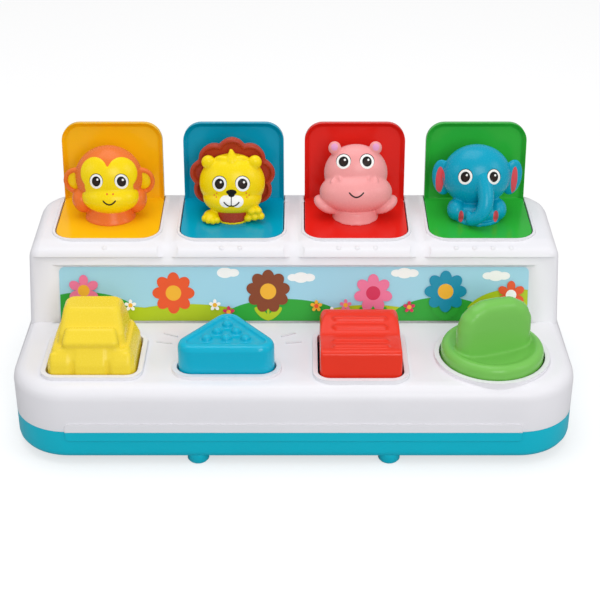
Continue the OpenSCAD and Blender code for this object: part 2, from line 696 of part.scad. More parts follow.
module car_body() {
    d = car_d; w = car_w;
    z = low_deck_z;
    // wings and bumper
    hull() {
        translate([0, 0, under_z - 1]) linear_extrude(1) polygon(box_outline(w, d, 5));
        translate([0, 0.5, z + 6]) linear_extrude(1) polygon(box_outline(w - 1, d - 1, 5));
        translate([0, 2, z + 13]) linear_extrude(1) polygon(box_outline(w - 7, d - 6, 5));
    }
    // cabin
    hull() {
        translate([0, 3.5, z + 8]) linear_extrude(1) polygon(box_outline(39, 33, 4));
        translate([0, 4.5, z + 19]) linear_extrude(1) polygon(box_outline(36, 28, 4));
        translate([0, 6.5, z + car_h - 3]) linear_extrude(1) polygon(box_outline(31.4, 17, 4));
        translate([0, 6.5, z + car_h - 1]) linear_extrude(1) polygon(box_outline(28, 13, 4));
    }
    // bonnet panel
    hull() {
        translate([0, -11.5, z + 17]) rotate([52, 0, 0]) linear_extrude(2) polygon(box_outline(30, 8, 3));
        translate([0, -13.2, z + 10.5]) rotate([62, 0, 0]) linear_extrude(2.4) polygon(box_outline(32, 6, 3));
    }
}
module car_key() color("#f5d93e") at_key(0) {
    difference() {
        car_body();
        // two grooves down the front
        for (s = [-1, 1]) translate([s * 9.6, -car_d / 2 - 0.6, under_z]) rotate([-9, 0, 0])
            cylinder(r = 1.3, h = 14, $fn = 24);
        // hollow underside
        translate([0, 0, under_z - 2]) linear_extrude(9) polygon(box_outline(car_w - 6, car_d - 6, 3));
        translate([0, 4, under_z]) linear_extrude(24) polygon(box_outline(26, 15, 3));
    }
    hollow_key(0, low_deck_z + 7);
}

module triangle_key() color("#00b4d2") at_key(1) {
    top = low_deck_z + tri_h;
    difference() {
        union() {
            translate([0, 0, under_z - 1]) linear_extrude(top - 3 - under_z + 1) polygon(tri_outline(0));
            hull() {
                translate([0, 0, top - 3.2]) linear_extrude(0.2) polygon(tri_outline(0));
                translate([0, 0, top - 0.8]) linear_extrude(0.2) polygon(tri_outline(-1));
                translate([0, 0, top - 0.2]) linear_extrude(0.2) polygon(tri_outline(-2.6));
            }
        }
        translate([0, 0, top - 1.4]) linear_extrude(3) polygon(tri_outline(-5));
        translate([0, 0, under_z - 2]) linear_extrude(tri_h - 2) polygon(tri_outline(-3));
    }
    // six domes in rows of one, two and three
    for (row = [0:2], k = [0:row])
        translate([(k - row / 2) * 10.6, 6.4 - row * 7.6, top - 1.6]) sphere(d = 5.2, $fn = 24);
    hollow_key(1, top - 3);
}

module rocker_key() color("#e83a22") at_key(2) {
    top = low_deck_z + rock_h;
    low = low_deck_z + rock_h - 5;           // at the fold
    half = rock_d / 2;
    rock_lean = 4.2;                         // its front clears the opening when tilted
    side = [[-half, under_z - 4, 1], [half, under_z - 4, 1], [half, top, 4], [half - 8, top, 6],
            [1, low, 3], [-half + 6, top - 3.6, 3], [-half + rock_lean, top - 5, 3]];
    difference() {
        intersection() {
            along_x(rock_w) polygon(rounded(side));
            translate([0, 0, under_z - 5]) linear_extrude(40) polygon(box_outline(rock_w, rock_d, 6));
            rotate([90, 0, 0]) linear_extrude(rock_d + 10, center = true)
                polygon(rounded([[-rock_w / 2, under_z - 5, 0], [rock_w / 2, under_z - 5, 0],
                                 [rock_w / 2 - 0.6, top, 5], [-rock_w / 2 + 0.6, top, 5]]));
        }
        translate([0, 0, under_z - 5]) linear_extrude(13)
            polygon(box_outline(rock_w - 3.6, rock_d - 5, 4));
    }
    // ribs across both slopes
    for (y = [-13.5, -7.5]) translate([0, y, low + 0.7 - y * 0.07]) rod_x(1.8, 26);
    for (y = [8.5, 15]) translate([0, y, low + 0.2 + y * 0.2]) rod_x(1.8, 26);
    // hub on the pin and foot over the lever
    difference() {
        union() {
            translate([0, 0, rocker_z]) rod_x(7, 20);
            translate([-4, -2.5, rocker_z]) cube([8, 5, under_z + 8.5 - rocker_z]);
        }
        translate([0, 0, rocker_z]) rod_x(3 + 2 * fit, 60);
    }
    translate([lever_dx - 3, -19, arm_z + lever_z + 0.7])
        cube([6, 4, under_z + 8.5 - arm_z - lever_z - 0.7]);
}
module rocker_pin() color(steel) at_key(2) translate([0, 0, rocker_z]) rod_x(3, 2 * rocker_post_x + 3.6);
module rocker_spring() color(steel)
    at_key(2) translate([-rocker_post_x + 4.4, 0, rocker_z]) difference() {
        rod_x(5.6, 4.6);
        rod_x(3.5, 6);
    }

module turning_key() color("#56b846") at_key(3, knob_y) {
    z = low_deck_z;
    difference() {
        rotate_extrude($fn = 96) polygon(concat(
            [[0, z + 2], [0, z + 5], [12, z + 5.2], [20, z + 6.6]],
            [for (k = [0:6]) [knob_d / 2 - 4 + 4 * sin(k * 15 - 0), z + 5 + 4 * cos(k * 15)]],
            [[knob_d / 2, under_z - 0.5], [knob_d / 2 + 1.6, under_z - 0.5], [knob_d / 2 + 1.6, under_z - 3],
             [knob_d / 2 - 2.4, under_z - 3], [knob_d / 2 - 2.4, z + 2]]));
    }
    // grip fin
    rotate([0, 0, fin_turn]) intersection() {
        hull() {
            for (s = [-1, 1]) {
                translate([s * 15.5, 0, z + 4]) cylinder(r = 7, h = 1, $fn = 28);
                translate([s * 14.5, 0, z + knob_h - 11]) sphere(6, $fn = 24);
            }
            translate([-6, 0, z + knob_h - 5.4]) sphere(5.4, $fn = 24);
            translate([8, 0, z + knob_h - 6]) sphere(5.4, $fn = 24);
        }
        translate([0, 0, z]) cylinder(d = knob_d - 9, h = 60, $fn = 64);
    }
    // shaft and cam
    translate([0, 0, floor_z + 2.4]) cylinder(d = shaft_d, h = z + 3 - floor_z - 2.4);
    translate([0, 0, cam_z]) cylinder(d = 36, h = 2);
    for (k = [0:5]) rotate([0, 0, -26.6 - k * 10]) translate([0, 0, cam_z - cam_step * (k + 1) + 0.25])
        rotate_extrude(angle = 10.2) translate([10 + 0.1 * k, 0]) square([7 - 0.2 * k, cam_step * (k + 1)]);
}
cam_z = bump_z + lever_z + 0.6;
cam_step = 0.5;

module key_spring(i) color(steel) at_key(i) translate([0, 0, floor_z + 1.6]) difference() {
    cylinder(d = 10, h = 34 - floor_z - 1.6);
    translate([0, 0, -1]) cylinder(d = guide_d + 0.8, h = 40);
}

top_shell();
base_tray();
label_panel();
case_screws();
hinge_pins();
lid_springs();
lever_pins();
lever_springs();
flap(0);  // monkey_flap
flap(1);  // lion_flap
flap(2);  // hippo_flap
flap(3);  // elephant_flap
monkey_figure();
monkey_face();
lion_mane();
lion_figure();
hippo_figure();
elephant_figure();
flap_screw(0);  // monkey_screw
flap_screw(1);  // lion_screw
flap_screw(2);  // hippo_screw
flap_screw(3);  // elephant_screw
release_lever(0);  // monkey_lever
release_lever(1);  // lion_lever
release_lever(2);  // hippo_lever
release_lever(3);  // elephant_lever
car_key();
triangle_key();
rocker_key();
turning_key();
key_spring(0);  // car_spring
key_spring(1);  // triangle_spring
rocker_pin();
rocker_spring();
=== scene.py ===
"""Looks of a pop up animal toy: four sprung lids with animal heads, and four keys.

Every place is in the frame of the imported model: +Z up, the keys' side faces -Y. A piece is
shaped in millimetres in a frame of its own, and is in metres once it is placed.
"""
import json
import math

import bmesh
import bpy
from mathutils import Matrix, Vector
from mathutils.bvhtree import BVHTree


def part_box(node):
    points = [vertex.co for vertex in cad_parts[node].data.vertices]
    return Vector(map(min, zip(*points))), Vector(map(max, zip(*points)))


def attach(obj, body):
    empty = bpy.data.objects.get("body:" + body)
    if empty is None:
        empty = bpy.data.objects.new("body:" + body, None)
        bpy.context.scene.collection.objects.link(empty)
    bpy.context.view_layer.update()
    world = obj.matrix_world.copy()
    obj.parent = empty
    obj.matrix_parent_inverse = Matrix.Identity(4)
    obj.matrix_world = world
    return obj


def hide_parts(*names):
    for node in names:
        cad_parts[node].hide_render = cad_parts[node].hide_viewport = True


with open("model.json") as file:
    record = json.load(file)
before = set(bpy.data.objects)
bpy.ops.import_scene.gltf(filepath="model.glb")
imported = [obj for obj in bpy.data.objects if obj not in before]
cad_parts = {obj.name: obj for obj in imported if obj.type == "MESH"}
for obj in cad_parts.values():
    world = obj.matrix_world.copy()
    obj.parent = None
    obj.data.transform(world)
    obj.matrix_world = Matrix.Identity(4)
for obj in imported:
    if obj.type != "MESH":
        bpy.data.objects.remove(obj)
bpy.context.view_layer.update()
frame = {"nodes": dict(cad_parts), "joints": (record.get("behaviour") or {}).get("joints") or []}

bl_info = {
    "name": "Pop Up Animal Toy",
    "version": (1, 1, 0),
    "blender": (4, 5, 0),
    "location": "View3D > Sidebar > Pop Up Toy",
    "description": "Builds a toddler's pop up toy with four animal heads around its packed model",
    "category": "Add Mesh",
}

MM = 0.001
PIVOTS = {j["name"]: Vector(j["pos_m"]) for j in frame["joints"] if "pos_m" in j}
DECK_TOP = PIVOTS["knob_turn"].z    # the turning key's pivot is on top of the low deck
DECK_SLOPE = math.radians(3)    # of the rear deck
RISER_LEAN = math.radians(17.8)
VIEW_DOWN = math.radians(29)    # the heads look up at the child by this much
FIGURE_STEP = 23.0      # mm from a hinge axis forward to the middle of its figure
HINGE_DROP = 2.6        # mm from a hinge axis up to the face of its floor
LID_LEAN = 11           # degrees of an open lid from square to its floor
PLATE = 2.2             # mm, thickness of a lid and of its floor
REACH = 49.8            # mm of lid and floor from the hinge axis
LID_CORNER = 11.0       # mm, what a round corner takes off each side
HEEL_R = 2.9            # mm, radius of the barrel that joins lid and floor
LABEL_MARGIN = 0.4      # mm that the print stays within the label's size
LIDS = {"monkey": "yellow", "lion": "blue", "hippo": "red", "elephant": "green"}


# ---- materials ----

def linear(hex_colour):
    """An sRGB hex colour as the linear RGBA that a shader takes."""
    parts = [int(hex_colour[i:i + 2], 16) / 255 for i in (1, 3, 5)]
    return [c / 12.92 if c <= 0.04045 else ((c + 0.055) / 1.055) ** 2.4 for c in parts] + [1.0]


def add(tree, kind, links=None, sockets=None, **settings):
    """Adds a node with its settings, its socket values and the sockets that feed it."""
    made = tree.nodes.new(kind)
    for key, value in settings.items():
        setattr(made, key, value)
    for key, value in (sockets or {}).items():
        made.inputs[key].default_value = value
    for key, source in (links or {}).items():
        tree.links.new(source, made.inputs[key])
    return made


def new_material(name):
    """An empty material and its node tree."""
    mat = bpy.data.materials.new(name)
    mat.use_nodes = True
    mat.node_tree.nodes.clear()
    return mat, mat.node_tree


def moulded_plastic(name, hex_colour, roughness=0.3, swirl=0.03, grain_mm=0.9, relief=0.02, edge_mm=0.0):
    """Injection-moulded ABS: an even colour with faint flow marks and a fine, softly uneven gloss.

    edge_mm rounds the shading of a crisp edge by the small radius that every mould leaves.
    """
    mat, tree = new_material(name)
    place = add(tree, "ShaderNodeTexCoord").outputs["Object"]
    # spark-eroded mould face, a little coarser than life so that it shows
    grain = add(tree, "ShaderNodeTexNoise", {"Vector": place}, {"Scale": 1 / (grain_mm * MM), "Detail": 2.0})
    rough = add(tree, "ShaderNodeMapRange", {0: grain.outputs[0]},
                {3: roughness - 0.03, 4: roughness + 0.03})
    bump = add(tree, "ShaderNodeBump", {"Height": grain.outputs[0]},
               {"Strength": relief, "Distance": 0.05 * MM})
    if edge_mm:
        soft = add(tree, "ShaderNodeBevel", None, {"Radius": edge_mm * MM}, samples=4)
        tree.links.new(soft.outputs[0], bump.inputs["Normal"])
    base = linear(hex_colour)
    shader = add(tree, "ShaderNodeBsdfPrincipled", {"Roughness": rough.outputs[0], "Normal": bump.outputs[0]},
                 {"Base Color": base, "IOR": 1.45, "Specular IOR Level": 0.3})
    if swirl:
        # flow marks a few centimetres long, seen as slightly deeper and paler colour
        flow = add(tree, "ShaderNodeTexNoise", {"Vector": place}, {"Scale": 1 / 0.035, "Detail": 2.0})
        deep = [c * (1 - swirl) for c in base[:3]] + [1.0]
        pale = [min(1.0, c * (1 + swirl)) for c in base[:3]] + [1.0]
        colour = add(tree, "ShaderNodeMix", {0: flow.outputs[0]}, {6: deep, 7: pale}, data_type="RGBA")
        tree.links.new(colour.outputs[2], shader.inputs["Base Color"])
    add(tree, "ShaderNodeOutputMaterial", {"Surface": shader.outputs[0]})
    return mat


def printing_ink(name, hex_colour, roughness=0.35):
    """Pad-printed ink: a thin even film with a slight pinholed gloss."""
    return moulded_plastic(name, hex_colour, roughness, swirl=0.0, grain_mm=0.4)


def zinc_plated_steel(name):
    """Cold-drawn wire and screws with a bright zinc coat, faintly streaked along their draw."""
    mat, tree = new_material(name)
    place = add(tree, "ShaderNodeTexCoord").outputs["Object"]
    stretch = add(tree, "ShaderNodeMapping", {"Vector": place}, {"Scale": (1.0, 20.0, 20.0)})
    streak = add(tree, "ShaderNodeTexNoise", {"Vector": stretch.outputs[0]}, {"Scale": 1 / 0.008})
    rough = add(tree, "ShaderNodeMapRange", {0: streak.outputs[0]}, {3: 0.24, 4: 0.42})
    shader = add(tree, "ShaderNodeBsdfPrincipled", {"Roughness": rough.outputs[0]},
                 {"Base Color": linear("#b9bdc2"), "Metallic": 1.0})
    add(tree, "ShaderNodeOutputMaterial", {"Surface": shader.outputs[0]})
    return mat


INKS = {"white_ink": "#fbfbf8", "black_ink": "#120f0e", "iris_ink": "#2b1f1a",
        "lilac_ink": "#e9a3cf", "coral_ink": "#e5525c", "sky_ink": "#a5d8ea", "leaf_ink": "#2fa836",
        "lime_ink": "#b5cc1e", "poppy_ink": "#ee5a2c", "gold_ink": "#f7b733", "russet_ink": "#8a4526",
        "pink_ink": "#f27aa0", "crimson_ink": "#d8305a", "lagoon_ink": "#0c8fb0"}
# gloss of each moulding: the lids and the triangle are polished, the shell is satin
ROUGHNESS = {"white": 0.34, "teal": 0.36, "yellow": 0.16, "blue": 0.16, "red": 0.16, "green": 0.16,
             "triangle": 0.14, "rocker": 0.2, "knob": 0.24, "car": 0.27}


def finish(name):
    """A material by name, made once. The colours were matched to the toy."""
    if name in bpy.data.materials:
        return bpy.data.materials[name]
    if name == "zinc_plated_steel":
        return zinc_plated_steel(name)
    if name in INKS:
        return printing_ink(name, INKS[name])
    key = name.replace("_abs", "")
    crisp = 0.6 if key in ("white", "teal") else 0.0
    return moulded_plastic(name, getattr(bpy.context.scene.pop_up_colours, key), ROUGHNESS.get(key, 0.27),
                           edge_mm=crisp)


# ---- shaping, in mm ----

def unit_frame(animal):
    """Where an animal stands on its floor: X right, Y back, Z square to the rear deck."""
    pivot = PIVOTS[animal + "_lid_hinge"]
    return (Matrix.Translation(pivot) @ Matrix.Rotation(DECK_SLOPE, 4, "X")
            @ Matrix.Translation((0, -FIGURE_STEP * MM, HINGE_DROP * MM)))


def turned(x, y, z):
    """A turn by three angles in degrees, about X first and Z last."""
    about = [Matrix.Rotation(math.radians(angle), 4, axis) for angle, axis in ((z, "Z"), (y, "Y"), (x, "X"))]
    return about[0] @ about[1] @ about[2]


def ball(segments):
    """A unit ball's mesh, made once for each fineness."""
    name = f"ball_{segments}"
    if name not in bpy.data.meshes:
        bm = bmesh.new()
        bmesh.ops.create_uvsphere(bm, u_segments=segments, v_segments=segments * 2 // 3, radius=1)
        bm.to_mesh(bpy.data.meshes.new(name))
        bm.free()
    return bpy.data.meshes[name]


def stamp(bm, mesh, at):
    """Adds a mesh to a bmesh in place."""
    moved = mesh.copy()
    moved.transform(at)
    bm.from_mesh(moved)
    bpy.data.meshes.remove(moved)


def blob(bm, centre, radii, turn=(0, 0, 0), segments=36):
    """An ellipsoid."""
    stamp(bm, ball(segments), Matrix.Translation(centre) @ turned(*turn) @ Matrix.Diagonal((*radii, 1)))


def wrapped(bm, balls, turn=(0, 0, 0)):
    """The closed convex skin round a few balls, each given as x, y, z and radius."""
    skin = bmesh.new()
    for x, y, z, r in balls:
        blob(skin, (x, y, z), (r, r, r), segments=20)
    bmesh.ops.convex_hull(skin, input=skin.verts)
    skin.transform(turned(*turn))
    part = bpy.data.meshes.new("wrapped_part")
    skin.to_mesh(part)
    skin.free()
    bm.from_mesh(part)
    bpy.data.meshes.remove(part)


def drum(bm, centre, r_low, r_high, height, squash=1.0):
    """A tapered boss standing on its centre, squashed front to back."""
    bmesh.ops.create_cone(bm, cap_ends=True, segments=64, radius1=r_low, radius2=r_high, depth=height,
                          matrix=Matrix.Translation(Vector(centre) + Vector((0, 0, height / 2)))
                          @ Matrix.Diagonal((1, squash, 1, 1)))


def hoop(bm, centre, radius, wire, tall=1.0):
    """A round ring of wire that faces the front."""
    made = bmesh.ops.create_circle(bm, segments=14, radius=wire, matrix=Matrix.Translation((radius, 0, 0)))
    edges = list({e for v in made["verts"] for e in v.link_edges})
    before = set(bm.verts) - set(made["verts"])
    bmesh.ops.spin(bm, geom=made["verts"] + edges, cent=(0, 0, 0), axis=(0, 1, 0), angle=math.tau,
                   steps=48, use_merge=True)
    new = [v for v in bm.verts if v not in before]
    bmesh.ops.scale(bm, vec=(1, 1, tall), verts=new)
    bmesh.ops.translate(bm, vec=centre, verts=new)


def cord_of_beads(bm, route, thickness, beads=20):
    """Close beads along a smooth route of three or four points, as thick as its two ends say."""
    for k in range(beads):
        t = k / (beads - 1)
        points = [Vector(p) for p in route]
        while len(points) > 1:
            points = [a.lerp(b, t) for a, b in zip(points, points[1:])]
        r = thickness[0] + (thickness[1] - thickness[0]) * t
        blob(bm, points[0], (r, r, r), segments=18)


def melted(name, bm, voxel_mm=0.55, rounds=8):
    """Fuses a bmesh's closed shapes into one skin with soft creases, as a moulding has."""
    mesh = bpy.data.meshes.new(name + "_parts")
    bm.to_mesh(mesh)
    bm.free()
    mesh.transform(Matrix.Scale(MM, 4))
    holder = bpy.data.objects.new(name + "_parts", mesh)
    bpy.context.scene.collection.objects.link(holder)
    grid = holder.modifiers.new("skin", "REMESH")
    grid.mode = "VOXEL"
    grid.voxel_size = voxel_mm * MM
    soft = holder.modifiers.new("soften", "SMOOTH")
    soft.factor = 0.5
    soft.iterations = rounds
    bpy.context.view_layer.update()
    shown = holder.evaluated_get(bpy.context.evaluated_depsgraph_get())
    made = bpy.data.meshes.new_from_object(shown)
    bpy.data.objects.remove(holder)
    made.name = name
    return made


def place(name, mesh, body, finishes, replaces=(), at=None, slot=None):
    """Makes a mesh a finished piece: in place, smooth, dressed, and riding on its body."""
    if at is not None:
        mesh.transform(at)
    for poly in mesh.polygons:
        poly.use_smooth = True
    piece = bpy.data.objects.new(name, mesh)
    bpy.context.scene.collection.objects.link(piece)
    for f in finishes:
        mesh.materials.append(finish(f))
    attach(piece, body)
    if replaces:
        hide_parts(*replaces)
    return piece


def merged_node(node):
    """A CAD node's mesh as a bmesh, in metres, with its loose triangles joined."""
    bm = bmesh.new()
    bm.from_mesh(frame["nodes"][node].data)
    bmesh.ops.remove_doubles(bm, verts=bm.verts, dist=1e-6)
    return bm


def crisp_copy(node, name, body, finishes, slot, angle=40):
    """A CAD node as one skin: its flats stay flat, its curves are shaded smooth."""
    bm = merged_node(node)
    for e in bm.edges:
        e.smooth = len(e.link_faces) == 2 and e.calc_face_angle(0) < math.radians(angle)
    mesh = bpy.data.meshes.new(name)
    bm.to_mesh(mesh)
    bm.free()
    return place(name, mesh, body, finishes, (node,), slot=slot)


def key_frame(node):
    """The middle of a key's opening, on top of the low deck."""
    low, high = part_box(node)
    return Matrix.Translation(((low[0] + high[0]) / 2, (low[1] + high[1]) / 2, DECK_TOP))


def soft_key(node, name, body, finishes, slot, detail, voxel_mm, rounds=6):
    """A CAD key with detail(bm) added in its own frame, fused and with every edge softened."""
    at = key_frame(node)
    bm = merged_node(node)
    bm.transform(Matrix.Scale(1 / MM, 4) @ at.inverted())
    detail(bm)
    return place(name, melted(name, bm, voxel_mm, rounds), body, finishes, (node,), at, slot)


# ---- print ----

FACE_INKS = ["white_ink", "black_ink", "iris_ink"]      # and a fourth, the animal's own
PALE, BLACK, BROWN, TINT = range(4)


class Print:
    """Ink laid on a moulding as a child sees it from the front, and wrapped on to its skin."""

    AWAY = 80 * MM      # how far in front of the skin its rays start

    def __init__(self, piece, at, down=VIEW_DOWN):
        self.bm = bmesh.new()
        solid = bmesh.new()
        solid.from_mesh(piece.data)
        self.tree = BVHTree.FromBMesh(solid)
        solid.free()
        self.start = at.translation
        self.ahead = Vector((0, math.cos(down), -math.sin(down)))
        self.up = Vector((0, math.sin(down), math.cos(down)))

    def patch(self, shape, ink, lift, across=16, along=16):
        """A grid bent by shape(u, v), which gives mm across and up, laid on the skin."""
        made = bmesh.ops.create_grid(self.bm, x_segments=across, y_segments=along, size=1)
        for v in made["verts"]:
            x, z = shape(v.co.x, v.co.y)
            start = self.start + Vector((x * MM, 0, 0)) + self.up * z * MM - self.ahead * self.AWAY
            hit = self.tree.ray_cast(start, self.ahead)[0]
            if hit is None:     # past the outline: hug its edge
                hit = self.tree.find_nearest(start + self.ahead * self.AWAY)[0]
            v.co = hit - self.ahead * lift * MM
        for f in {f for v in made["verts"] for f in v.link_faces}:
            f.material_index = ink
            f.normal_update()
            if f.normal.dot(self.ahead) > 0:
                f.normal_flip()

    def spot(self, x, z, rx, rz, ink, lift):
        """An ellipse."""
        self.patch(lambda u, v: (x + rx * u * math.sqrt(1 - v * v / 2),
                                 z + rz * v * math.sqrt(1 - u * u / 2)), ink, lift)

    def stroke(self, points, width, ink, lift):
        """A line of even width with round ends along a curve of three points."""
        (x0, z0), (x1, z1), (x2, z2) = points

        def shape(u, v):
            t = (u + 1) / 2
            x = (1 - t) ** 2 * x0 + 2 * t * (1 - t) * x1 + t * t * x2
            z = (1 - t) ** 2 * z0 + 2 * t * (1 - t) * z1 + t * t * z2
            dx = 2 * (1 - t) * (x1 - x0) + 2 * t * (x2 - x1)
            dz = 2 * (1 - t) * (z1 - z0) + 2 * t * (z2 - z1)
            size = math.hypot(dx, dz) or 1
            past = max(0.0, abs(u) - 0.9)       # a round end takes the last tenth
            half = width / 2 * math.sqrt(max(0.0, 1 - past ** 2 / 0.0101))
            return x - dz / size * half * v, z + dx / size * half * v
        self.patch(shape, ink, lift, 28, 3)

    def eye(self, x, z, wide, tall):
        """A printed eye: a lash line over the white, a dark pupil with a browner middle, and a glint."""
        self.spot(x, z + 0.34, wide * 1.06, tall * 1.02, BLACK, 0.04)
        self.spot(x, z, wide, tall, PALE, 0.07)
        self.spot(x, z, wide * 0.68, tall * 0.7, BLACK, 0.1)
        self.spot(x, z - 0.3, wide * 0.44, tall * 0.44, BROWN, 0.12)
        self.spot(x + 0.8, z + 0.95, 0.62, 0.66, PALE, 0.15)

    def done(self, name, body, inks):
        mesh = bpy.data.meshes.new(name)
        self.bm.to_mesh(mesh)
        self.bm.free()
        return place(name, mesh, body, inks)


# ---- what a user would change ----

def colour_property(name, hex_colour, words):
    return bpy.props.StringProperty(name=name, description=words, default=hex_colour)


class POPUP_PG_colours(bpy.types.PropertyGroup):
    """Colours of the toy's mouldings, as sRGB hex values."""
    white: colour_property("Shell", "#eeedf2", "Upper shell's white")
    teal: colour_property("Tray", "#00bcd4", "Lower tray's teal")
    yellow: colour_property("Yellow lid", "#fcc010", "Lid behind the monkey")
    blue: colour_property("Blue lid", "#00a2c4", "Lid behind the lion")
    red: colour_property("Red lid", "#e5231a", "Lid behind the hippo")
    green: colour_property("Green lid", "#2eb43a", "Lid behind the elephant")
    car: colour_property("Car", "#f6d93a", "Car key's yellow")
    triangle: colour_property("Triangle", "#08b2d2", "Triangle key's blue")
    rocker: colour_property("Rocking key", "#ea3620", "Rocking key's red")
    knob: colour_property("Turning key", "#7ac45a", "Turning key's green")
    monkey: colour_property("Monkey", "#f07a30", "Monkey's coat")
    monkey_face: colour_property("Monkey's face", "#fbdc0a", "Monkey's face and ears")
    mane: colour_property("Mane", "#b23e28", "Lion's mane")
    lion: colour_property("Lion", "#f9dd0a", "Lion's head and paws")
    hippo: colour_property("Hippo", "#f5a3a3", "Hippo's skin")
    elephant: colour_property("Elephant", "#00a2c2", "Elephant's skin")
    lever: colour_property("Levers", "#9aa0a8", "Release levers")


class POPUP_PG_sizes(bpy.types.PropertyGroup):
    """Sizes of the drawn and moulded detail, in mm."""
    smile_w: bpy.props.FloatProperty(name="Smile", description="Width of a printed smile's line, mm",
                                     default=0.85, min=0.4, max=1.2)
    skin_mm: bpy.props.FloatProperty(name="Skin", description="Fineness of the moulded heads, mm",
                                     default=0.5, min=0.4, max=1.0)
    lid_rim_w: bpy.props.FloatProperty(name="Lid rim", description="Width of the rim round a lid, mm",
                                       default=2.6, min=2.0, max=3.4)
    lid_rim_h: bpy.props.FloatProperty(name="Lid rim height", description="Height of the rim in a lid, mm",
                                       default=2.8, min=2.0, max=3.4)


# ---- the case ----

class POPUP_OT_case(bpy.types.Operator):
    """The white shell, the teal tray, the screws, pins, springs and levers"""
    bl_idname = "popup.case"
    bl_label = "Case"

    def execute(self, context):
        crisp_copy("top_shell", "shell", "case", ["white_abs"], "white_shell")
        crisp_copy("base_tray", "tray", "case", ["teal_abs"], "teal_tray")
        for n, node in frame["nodes"].items():
            kind = n.split("_")[-1]
            if kind in ("screws", "screw", "pins", "pin", "spring", "springs", "lever"):
                node.data.materials.clear()
                node.data.materials.append(finish("lever_abs" if kind == "lever" else "zinc_plated_steel"))
        return {"FINISHED"}


def hinged_plate(bm, width, outer_z, inner_z, rim_w=0.0, rim_h=0.0):
    """A plate from the hinge line forward, with two round corners, and a rim on its inner side."""
    spots = ((-width / 2, 0), (-width / 2, -REACH), (width / 2, -REACH), (width / 2, 0))
    verts = [bm.verts.new((x, y, outer_z)) for x, y in spots]
    bm.faces.new(verts)
    bmesh.ops.bevel(bm, geom=verts[1:3], offset=LID_CORNER, segments=10, profile=0.5, affect="VERTICES",
                    material=-1)
    face = next(f for f in bm.faces if len(f.verts) > 4 and abs(f.calc_center_median().z - outer_z) < 1e-6)
    made = bmesh.ops.extrude_face_region(bm, geom=[face])["geom"]
    bmesh.ops.translate(bm, vec=(0, 0, inner_z - outer_z - math.copysign(rim_h, outer_z - inner_z)),
                        verts=[g for g in made if isinstance(g, bmesh.types.BMVert)])
    if rim_w:
        cap = next(g for g in made if isinstance(g, bmesh.types.BMFace))
        bmesh.ops.inset_region(bm, faces=[cap], thickness=rim_w, use_even_offset=True)
        bmesh.ops.translate(bm, vec=(0, 0, rim_h), verts=cap.verts)


class POPUP_OT_lids(bpy.types.Operator):
    """The four lids with their floors, each one moulding on its heel"""
    bl_idname = "popup.lids"
    bl_label = "Lids"

    def execute(self, context):
        sizes = context.scene.pop_up_sizes
        for animal, colour in LIDS.items():
            pivot = PIVOTS[animal + "_lid_hinge"]
            low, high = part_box(animal + "_flap")
            width = (high[0] - low[0]) / MM
            bm = bmesh.new()
            hinged_plate(bm, width, HINGE_DROP, HINGE_DROP - PLATE, sizes.lid_rim_w, sizes.lid_rim_h)
            bm.transform(Matrix.Rotation(math.radians(-90 - LID_LEAN), 4, "X"))
            floor = bmesh.new()
            hinged_plate(floor, width, HINGE_DROP, HINGE_DROP - PLATE)
            both = bpy.data.meshes.new("floor_part")
            floor.to_mesh(both)
            floor.free()
            bm.from_mesh(both)
            bpy.data.meshes.remove(both)
            bmesh.ops.recalc_face_normals(bm, faces=bm.faces)
            sharp = [e for e in bm.edges
                     if len(e.link_faces) == 2 and e.calc_face_angle(0) > math.radians(40)]
            bmesh.ops.bevel(bm, geom=sharp, offset=0.55, segments=3, profile=0.5, affect="EDGES", material=-1,
                            clamp_overlap=True)
            bmesh.ops.create_cone(bm, cap_ends=True, segments=40, radius1=HEEL_R, radius2=HEEL_R,
                                  depth=width - 1,
                                  matrix=Matrix.Rotation(math.pi / 2, 4, "Y"))
            mesh = bpy.data.meshes.new(animal + "_lid")
            bm.to_mesh(mesh)
            bm.free()
            mesh.transform(Matrix.Translation(pivot) @ Matrix.Rotation(DECK_SLOPE, 4, "X")
                           @ Matrix.Scale(MM, 4))
            piece = place(animal + "_lid", mesh, animal + "_popup", [colour + "_abs"], (animal + "_flap",),
                          slot=colour + "_lid")
            crisp = piece.modifiers.new("shade", "WEIGHTED_NORMAL")
            crisp.keep_sharp = True
        return {"FINISHED"}


# ---- the keys ----

def car_detail(bm):
    """A wide windscreen panel, two wings and a nose that stand proud, with the grooves between them."""
    wrapped(bm, [(s * x, y, z, 2.6) for s in (-1, 1) for x, y, z in
                 ((12.8, -13.5, 17.2), (11.6, -9.2, 21.6), (12.4, -7, 15))])
    for x0, x1 in ((-22.3, -11), (-9, 9), (11, 22.3)):
        top = ((-14.8, 13.2), (-17.5, 8.2)) if x0 == -9 else ((-15.8, 10.9), (-17.7, 8.0))
        wrapped(bm, [(x, y, z, 1.8) for x in (x0 + 1.8, x1 - 1.8) for y, z in
                     ((-19.3, -3), (-18.9, 3), (-18.5, 6), *top)])
    # wheel arches along the sides
    for s in (-1, 1):
        for y in (-9.5, 10.5):
            blob(bm, (s * 20.2, y, 6.0), (3.5, 8.2, 7.4), (0, s * -14, 0))


def triangle_detail(bm):
    """Six buttons in rows of one, two and three, a little fuller than the solid's."""
    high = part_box("triangle_key")[1]
    top = (high[2] - DECK_TOP) / MM
    for row in range(3):
        for k in range(row + 1):
            blob(bm, ((k - row / 2) * 10.6, 6.4 - row * 7.6, top - 1.5), (2.8, 2.8, 2.5), segments=20)


